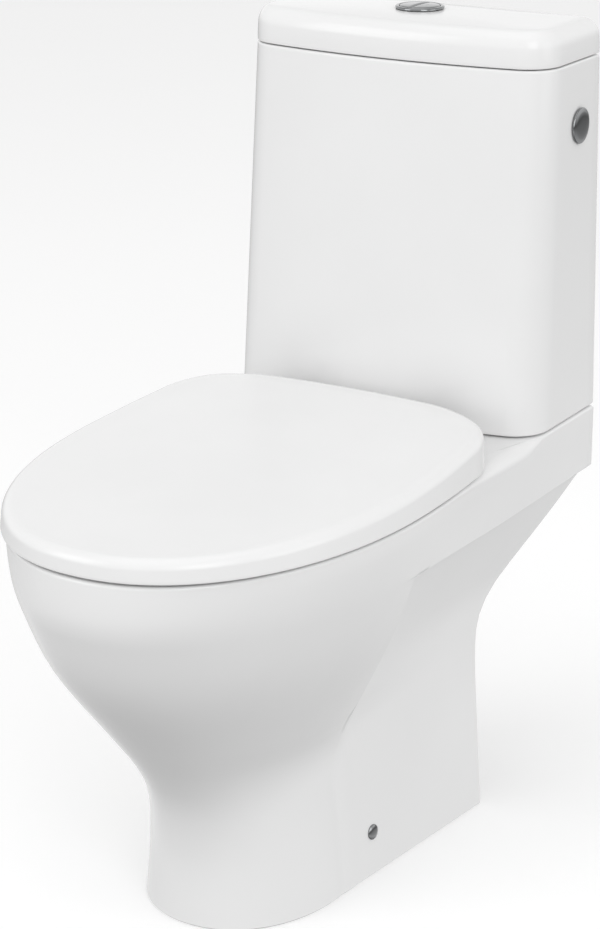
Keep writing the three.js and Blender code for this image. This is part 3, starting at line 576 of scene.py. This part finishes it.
def make_half_button(node):
    """A half of the push button, with rolled edges and a slightly domed face."""
    low, high = box_mm(node)
    radius = (high[1] - low[1]) / 2
    gap = max(low[0], -high[0])
    top = high[2]
    skirt = ((6, low[2]), (0.4, low[2]), (0, low[2] + 0.6))
    rim = arc((0, 0), 1.3, 0, 80, 6)
    loops = [half_disc_loop(radius - inset, gap + inset, z) for inset, z in skirt]
    loops += [half_disc_loop(radius - 1.3 + a, gap + 1.3 - a, top - 2.1 + z) for a, z in rim]
    for inset in (2.2, 3.6, 5.2, 6.8, 8.2):
        loop = half_disc_loop(radius - inset, gap + inset, top, corner=max(1.5 - inset * 0.15, 0.3))
        loops.append([(x, y, top - 0.8 * (math.hypot(x, y) / radius) ** 2.5) for x, y, _ in loop])
    columns = len(loops[0])
    points = [p for loop in loops for p in loop]
    faces = grid_faces(len(loops), columns)
    faces += [tuple(range(columns)), tuple(range(len(points) - columns, len(points)))]
    piece = add_mesh(f"{node}_chrome", points, faces, sharp_degrees=50)
    if high[0] <= 0:
        piece.data.transform(Matrix.Rotation(math.pi, 4, "Z"))
    return place(piece, (0, FLUSH_Y, 0))


def make_bezel():
    bottom, top = BEZEL_LOW[2], BEZEL_HIGH[2]
    lip = top - 2.6
    outline = [(20, bottom), (21.6, bottom), (21.6, lip), (23.2, lip), (23.8, lip + 0.5)]
    outline += arc((22.2, top - 1.6), 1.6, 0, 90, 8)
    outline += [(21.2, top), *arc((21.2, top - 1.2), 1.2, 100, 180, 5), (20, lip)]
    return place(lathe("button_bezel_chrome", outline, 96), (0, FLUSH_Y, 0))


def make_inlet_cap():
    """A turned cap with a rolled edge and a low dome, on its threaded stem."""
    high = CAP_HIGH[0]
    rim = (CAP_HIGH[2] - CAP_LOW[2]) / 2
    outline = [(0, CAP_LOW[0]), (8.4, CAP_LOW[0]), (9, CAP_LOW[0] + 0.6)]
    outline += [(9, high - 3.9), (rim - 0.5, high - 3.9)]
    outline += arc((rim - 1.2, high - 2.6), 1.2, -30, 70, 6)
    outline += [(rim - 2.2, high - 1.2), (rim - 3.2, high - 0.8), (rim - 5, high - 0.45)]
    outline += [(9, high - 0.15), (4, high), (0, high)]
    return place(lathe("side_inlet_cap_chrome", outline), (0, INLET_Y, INLET_Z), (1, 0, 0))


def make_fixing_cap(name):
    """A small turned cap with a rolled edge and a raised middle."""
    outline = [(0, -1.4), (7, -1.4), (7.6, -0.9), (7.6, -0.2), (7.3, 0.2), (6.7, 0.4), (6.1, 0.7), (5.2, 1)]
    outline += [(4, 1.25), (2.2, 1.4), (0, 1.45)]
    return place(lathe(f"side_fixing_cap_{name}_chrome", outline), *side_fixing(name))


# ---------------------------------------------------------------- seat
SEAT_HALF_WIDTH = SLID_HIGH[0]
SEAT_WIDEST = -47.4
SEAT_REACH = SEAT_WIDEST - SLID_LOW[1]
LID_REAR = SLID_HIGH[1]
LID_RADIUS = LID_REAR - HINGE_Y  # of the lid's round back edge
SKIRT_Z = SLID_LOW[2]
RING_BOTTOM = box_mm("seat_ring")[0][2]
SEAT_FRONT = 40  # columns along half of the seat's front
SEAT_SIDE = 10
SEAT_CORNER = 18
SEAT_BACK = 10
SEAT_COLUMNS = SEAT_FRONT + SEAT_SIDE + SEAT_CORNER + SEAT_BACK

lid_edge = profile((-WALL, 423), (SEAT_WIDEST, 429.5), (HINGE_Y, 437))
LID_CROWN = 8


def seat_half(inset, rear, corner):
    """Half the seat's plan: half an egg in front, sides that draw in, and wide round rear corners."""
    width, reach = SEAT_HALF_WIDTH - inset, SEAT_REACH - inset
    half = []
    for i in range(SEAT_FRONT + 1):
        angle = math.pi / 2 * i / SEAT_FRONT
        x = width * math.sin(angle) ** (2 / 2.16)
        half.append((x, SEAT_WIDEST - reach * math.cos(angle) ** (2 / 2.16)))

    def side(y):
        return width - 4.85 * ((y - SEAT_WIDEST) / 100) ** 2

    start = rear - corner
    for i in range(1, SEAT_SIDE + 1):
        y = mix(SEAT_WIDEST, start, i / SEAT_SIDE)
        half.append((side(y), y))
    half += arc((side(start) - corner, start), corner, 0, 90, SEAT_CORNER)[1:]
    half += [(half[-1][0] * (1 - i / SEAT_BACK), rear) for i in range(1, SEAT_BACK + 1)]
    return half


def inward_of(half):
    """Unit directions into the plan for each point of its right half."""
    turns = []
    for i, (x, y) in enumerate(half):
        before = half[i - 1] if i else (-half[1][0], half[1][1])
        after = half[i + 1] if i + 1 < len(half) else (-half[i - 1][0], half[i - 1][1])
        along = Vector((after[0] - before[0], after[1] - before[1])).normalized()
        turns.append((-along.y, along.x))
    return turns


def lid_top(x, y):
    """Height of the lid's low dome, which falls to the nose and to the sides."""
    outwards = math.hypot(x / SEAT_HALF_WIDTH, (min(y, SEAT_WIDEST) - SEAT_WIDEST) / SEAT_REACH)
    return lid_edge(y) + LID_CROWN * (1 - outwards**2)


def lid_section(thickness):
    """The lid's edge as (inset, height over the skirt's edge, drop below the top). One of the last two
    is None."""
    edge = 10 - min(thickness, 4)
    if thickness:
        rises = ((0, 0), (0.3, 2), (0.8, 5))
    else:
        rises = ((1.4, 0), (0.6, 0.5), (0.3, 1.4), (0.4, 3), (0.9, 6))
    drops = [(edge - a, edge - 0.3 - b) for a, b in arc((0, 0), edge, 6, 84, 11)]
    drops += [(edge + 4, -0.1), (edge + 10, -0.15)]
    low = [(inset, rise, None) for inset, rise in rises]
    return low + [(inset + 1.4, None, drop) for inset, drop in drops]


def lid_rows(thickness):
    """Half loops from the skirt's edge to the spine, for the lid's outside or the hollow under it."""
    half = seat_half(0, LID_REAR, 87)
    inward = inward_of(half)
    section = lid_section(thickness)
    radius = LID_RADIUS - thickness
    rows = []
    for k, (inset, rise, drop) in enumerate(section):
        turn = math.pi * (k / (len(section) - 1) - 0.5)
        row = []
        for (x, y), (ix, iy) in zip(half, inward):
            back = smooth((y - HINGE_Y + 14) / (LID_RADIUS + 8))
            draw = mix(inset + thickness, LID_RADIUS - radius * math.cos(turn), back)
            px, py = x + ix * draw, y + iy * draw
            front = lid_top(px, py) - drop - thickness if rise is None else SKIRT_Z + rise
            reach = lid_top(px, HINGE_Y) - HINGE_Z - thickness if turn > 0 else radius
            row.append((px, py, mix(front, HINGE_Z + reach * math.sin(turn), back)))
        rows.append(row)
    brim = rows[-1]
    for share in (0.86, 0.72, 0.58, 0.44, 0.3, 0.18, 0.08, 0):
        row = []
        for x, y, _ in brim:
            at = (x * share, mix(min(max(y, -190), 20), y, share))
            row.append((*at, lid_top(*at) - thickness))
        rows.append(row)
    return rows


def make_seat_lid():
    outside, hollow = lid_rows(0), lid_rows(5)
    loops = [mirrored(row) for row in hollow[::-1] + outside]
    columns = len(loops[0])
    points = [p for loop in loops for p in loop]
    lid = add_mesh("seat_lid_shell", points, grid_faces(len(loops), columns))
    axis = (HINGE_Y, HINGE_Z)
    cuts = [block((-128, 128), (HINGE_Y - 20, LID_REAR + 5), (SKIRT_Z - 5, 414))]
    for side in (-1, 1):
        low, high = sorted((side * 38, side * 59))
        carve(lid, bar(15, low, high, axis, "x"), operation="UNION")
        cuts.append(block(sorted((side * 59.5, side * 96)), (HINGE_Y - 8, LID_REAR + 5), (SKIRT_Z - 5, 438)))
        low, high = sorted((side * 95, side * 113.6))
        cuts.append(bar(10.8, low, high, axis, "x"))
        cuts.append(block((low, high), (HINGE_Y, LID_REAR + 5), (SKIRT_Z - 5, 419)))
        low, high = sorted((side * 36, side * 62))
        cuts.append(bar(PIN_RADIUS + 0.4, low, high, axis, "x"))
    return carve(lid, *cuts)


ring_top = profile((-WALL, 415), (104, 421))
RING_INSET = 10
RING_REAR = 104


def ring_hole_half(grow):
    """Half the plan of the seat ring's hole."""
    half = []
    for i in range(SEAT_COLUMNS + 1):
        angle = math.pi * i / SEAT_COLUMNS
        across, along = math.sin(angle), math.cos(angle)
        power, reach = (2 / 2.15, 166 + grow) if along > 0 else (2 / 2.3, 140 + grow)
        y = -96 - math.copysign(abs(along) ** power, along) * reach
        half.append(((110 + grow) * abs(across) ** power, y))
    return half


def ring_outside(inset, lift, from_top):
    half = seat_half(RING_INSET + inset, RING_REAR, 48)
    return mirrored([(x, y, (ring_top(y) if from_top else RING_BOTTOM) + lift) for x, y in half])


def ring_inside(grow, lift, from_top):
    half = ring_hole_half(grow)
    return mirrored([(x, y, (ring_top(y) if from_top else RING_BOTTOM) + lift) for x, y in half])


def make_seat_ring():
    loops = [ring_outside(1.6 - a, 1.6 - b, False) for a, b in arc((0, 0), 1.6, 90, 0, 3)]
    loops += [ring_outside(0, 4, False), ring_outside(0.2, -8, True)]
    loops += [ring_outside(6 - a, -6 + b, True) for a, b in arc((0, 0), 5.8, 10, 90, 8)]
    top_out, top_in = ring_outside(12, 0, True), ring_inside(12, 0, True)
    loops += [top_out, *between(top_out, top_in, 0.25, 0.5, 0.75, 1)]
    loops += [ring_inside(6 - a, -6 + b, True) for a, b in arc((0, 0), 6, 90, 180, 8)]
    loops = loops[:-1] + [ring_inside(0, -6, True), ring_inside(0, 2, False), ring_inside(1, 0, False)]
    loops += between(loops[-1], ring_outside(3, 0, False), 0.33, 0.66, 1)
    ring = ring_body("seat_ring_shell", loops)
    axis = (HINGE_Y, HINGE_Z)
    for side in (-1, 1):
        low, high = sorted((side * 96.5, side * 113))
        carve(ring, block((low, high), (RING_REAR - 12, HINGE_Y), (413, 419)), operation="UNION")
        carve(ring, bar(10, low, high, axis, "x"), operation="UNION")
        low, high = sorted((side * 90, side * 112))
        carve(ring, bar(PIN_RADIUS + 0.4, low, high, axis, "x"))
    return ring


# ---------------------------------------------------------------- materials
def finish(
    name, colour, rough, metal=0.0, shift=0.02, rough_shift=0.03, patch=6.0, grain=900.0, bump=0.02, **sockets
):
    """A finish with faint patches of colour, a roughness that drifts, and a fine surface grain."""
    material = bpy.data.materials.new(name)
    material.use_nodes = True
    nodes, link = material.node_tree.nodes, material.node_tree.links.new
    shader = nodes["Principled BSDF"]
    place_of = nodes.new("ShaderNodeTexCoord").outputs["Object"]

    def noise(scale, detail):
        node = nodes.new("ShaderNodeTexNoise")
        node.inputs["Scale"].default_value = scale
        node.inputs["Detail"].default_value = detail
        link(place_of, node.inputs["Vector"])
        return node.outputs["Fac"]

    tint = nodes.new("ShaderNodeValToRGB")
    tint.color_ramp.elements[0].position = 0.3
    tint.color_ramp.elements[0].color = (*[c * (1 - shift) for c in colour], 1)
    tint.color_ramp.elements[1].position = 0.7
    tint.color_ramp.elements[1].color = (*[min(c * (1 + shift), 1) for c in colour], 1)
    link(noise(patch, 3), tint.inputs["Fac"])
    link(tint.outputs["Color"], shader.inputs["Base Color"])

    gloss = nodes.new("ShaderNodeMapRange")
    gloss.inputs["From Min"].default_value = 0.3
    gloss.inputs["From Max"].default_value = 0.7
    gloss.inputs["To Min"].default_value = rough
    gloss.inputs["To Max"].default_value = rough + rough_shift
    link(noise(patch * 3.1, 4), gloss.inputs["Value"])
    link(gloss.outputs["Result"], shader.inputs["Roughness"])

    relief = nodes.new("ShaderNodeBump")
    relief.inputs["Strength"].default_value = bump
    relief.inputs["Distance"].default_value = 0.001
    link(noise(grain, 2), relief.inputs["Height"])
    link(relief.outputs["Normal"], shader.inputs["Normal"])

    shader.inputs["Metallic"].default_value = metal
    for socket, value in sockets.items():
        shader.inputs[socket.replace("_", " ")].default_value = value
    return material


MATERIALS = {
    "glazed_ceramic": finish(
        "glazed_ceramic", (0.8, 0.8, 0.8), 0.16, patch=4, grain=60, bump=0.05, Specular_IOR_Level=0.4
    ),
    "seat_plastic": finish("seat_plastic", (0.81, 0.81, 0.81), 0.24, patch=5, grain=500, bump=0.03),
    # chrome's base colour is set far darker than bare chrome reflects: painted shade, standing in for a dark
    # studio seen in its reflections
    "chrome": finish("chrome", (0.26, 0.265, 0.27), 0.07, metal=1, patch=40, grain=300, bump=0.02),
    "steel": finish("steel", (0.5, 0.51, 0.52), 0.28, metal=1, shift=0.06, patch=60, grain=2500, bump=0.1),
    "brass": finish("brass", (0.6, 0.44, 0.2), 0.3, metal=1, shift=0.08, patch=50, grain=1800, bump=0.1),
    "white_plastic": finish("white_plastic", (0.76, 0.76, 0.75), 0.38, patch=20, grain=1500, bump=0.1),
    "blue_plastic": finish(
        "blue_plastic", (0.05, 0.13, 0.35), 0.4, shift=0.08, patch=25, grain=1500, bump=0.1
    ),
    "grey_plastic": finish(
        "grey_plastic", (0.25, 0.27, 0.29), 0.45, shift=0.08, patch=25, grain=1500, bump=0.12
    ),
    "rubber": finish("rubber", (0.025, 0.025, 0.027), 0.6, shift=0.2, patch=60, grain=2200, bump=0.2),
    "foam_seal": finish("foam_seal", (0.035, 0.035, 0.037), 0.85, shift=0.3, patch=90, grain=1200, bump=0.8),
    "soft_pad": finish("soft_pad", (0.7, 0.7, 0.69), 0.5, patch=30, grain=1200, bump=0.1),
}


def clad(piece, slot):
    piece.data.materials.clear()
    piece.data.materials.append(MATERIALS[slot])


def stand_for(node, piece):
    """The piece takes a CAD node's place on its body, with the finish of its slot."""
    body = next(name for name, members in BODIES.items() if node in members)
    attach(piece, body)
    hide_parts(node)
    clad(piece, SLOTS[node])


def keep_node(node):
    """A CAD node stays, with its finish and rounded edges."""
    piece = frame["nodes"][node]
    for slot in piece.material_slots:
        slot.material = MATERIALS[SLOTS[node]]
    edge = piece.modifiers.new("edges", "BEVEL")
    edge.width = 0.35 * MM
    edge.segments = 2
    edge.angle_limit = math.radians(40)
    edge.harden_normals = True


# ---------------------------------------------------------------- stage
def make_camera():
    camera = bpy.data.objects.new("camera", bpy.data.cameras.new("camera"))
    camera.data.lens = 101.37
    camera.data.clip_end = 200
    right = Vector((0.85798, 0.51368, 0))
    up = Vector((-0.16851, 0.28146, 0.94466))
    back = right.cross(up)
    turn = Matrix((right, up, back)).transposed().to_4x4()
    camera.matrix_world = Matrix.Translation((1.19669, -1.95831, 1.20083)) @ turn
    bpy.context.scene.collection.objects.link(camera)
    bpy.context.scene.camera = camera


def make_floor():
    bpy.ops.mesh.primitive_plane_add(size=60, location=(0, 0, 0))
    floor = bpy.context.object
    floor.name = "floor"
    material = finish("floor_white", (0.8, 0.8, 0.8), 0.8, shift=0.005, patch=1, grain=30, bump=0.01)
    shader = material.node_tree.nodes["Principled BSDF"]
    shader.inputs["Emission Color"].default_value = (1, 1, 1, 1)
    shader.inputs["Emission Strength"].default_value = 0.24
    floor.data.materials.append(material)
    floor.visible_diffuse = False
    floor.visible_glossy = False
    floor.visible_shadow = False


def soft_light(name, at, aim, size, watts):
    lamp = bpy.data.lights.new(name, "AREA")
    lamp.shape = "RECTANGLE"
    lamp.size, lamp.size_y = size
    lamp.energy = watts
    holder = bpy.data.objects.new(name, lamp)
    toward = Vector(aim) - Vector(at)
    holder.matrix_world = Matrix.Translation(at) @ toward.to_track_quat("-Z", "Y").to_matrix().to_4x4()
    bpy.context.scene.collection.objects.link(holder)


# brightness of the studio by the height of the direction, as shares of the strength
SKY = ((-1, 0), (-0.5, 0.745), (-0.15, 0.17), (0.1, 0.935), (0.45, 0.68), (1, 0.43))
SKY_STRENGTH = 1.25


def make_lights():
    soft_light("overhead", (0.1, -0.6, 4.0), (0, 0, 0.4), (3.2, 3.2), 22)
    soft_light("front_left", (-2.2, -3.2, 2.2), (0, 0, 0.5), (2.0, 2.6), 36)
    soft_light("front_right", (3.2, -2.6, 2.2), (0, 0, 0.5), (2.0, 2.6), 39)
    soft_light("right", (3.8, 0.3, 1.2), (0, 0, 0.5), (2.0, 2.0), 13)
    world = bpy.data.worlds.new("studio")
    bpy.context.scene.world = world
    world.use_nodes = True
    nodes, link = world.node_tree.nodes, world.node_tree.links.new
    split = nodes.new("ShaderNodeSeparateXYZ")
    link(nodes.new("ShaderNodeTexCoord").outputs["Generated"], split.inputs[0])
    height = nodes.new("ShaderNodeMapRange")
    height.inputs["From Min"].default_value = -1
    link(split.outputs["Z"], height.inputs["Value"])
    sky = nodes.new("ShaderNodeValToRGB")
    link(height.outputs["Result"], sky.inputs["Fac"])
    ramp = sky.color_ramp
    while len(ramp.elements) < len(SKY):
        ramp.elements.new(0.5)
    for stop, (z, level) in zip(ramp.elements, SKY):
        stop.position = (z + 1) / 2
        stop.color = (level, level, level, 1)
    link(sky.outputs["Color"], nodes["Background"].inputs["Color"])
    nodes["Background"].inputs["Strength"].default_value = SKY_STRENGTH
    bpy.context.scene.view_settings.view_transform = "Standard"


# ---------------------------------------------------------------- the toilet
BODIES = frame["record"]["behaviour"]["bodies"]
SLOTS = {part["node"]: part["material_slot"] for part in frame["record"]["subparts"]}
SHAPED = {
    "pan": make_pan,
    "cistern_tank": make_tank,
    "cistern_lid": make_cistern_lid,
    "seat_lid": make_seat_lid,
    "seat_ring": make_seat_ring,
    "button_bezel": make_bezel,
    "side_inlet_cap": make_inlet_cap,
    "full_flush_button": lambda: make_half_button("full_flush_button"),
    "half_flush_button": lambda: make_half_button("half_flush_button"),
    "side_fixing_cap_left": lambda: make_fixing_cap("left"),
    "side_fixing_cap_right": lambda: make_fixing_cap("right"),
}

make_camera()
make_floor()
make_lights()
for node, make in SHAPED.items():
    stand_for(node, make())
for node in frame["nodes"]:
    if node not in SHAPED:
        keep_node(node)
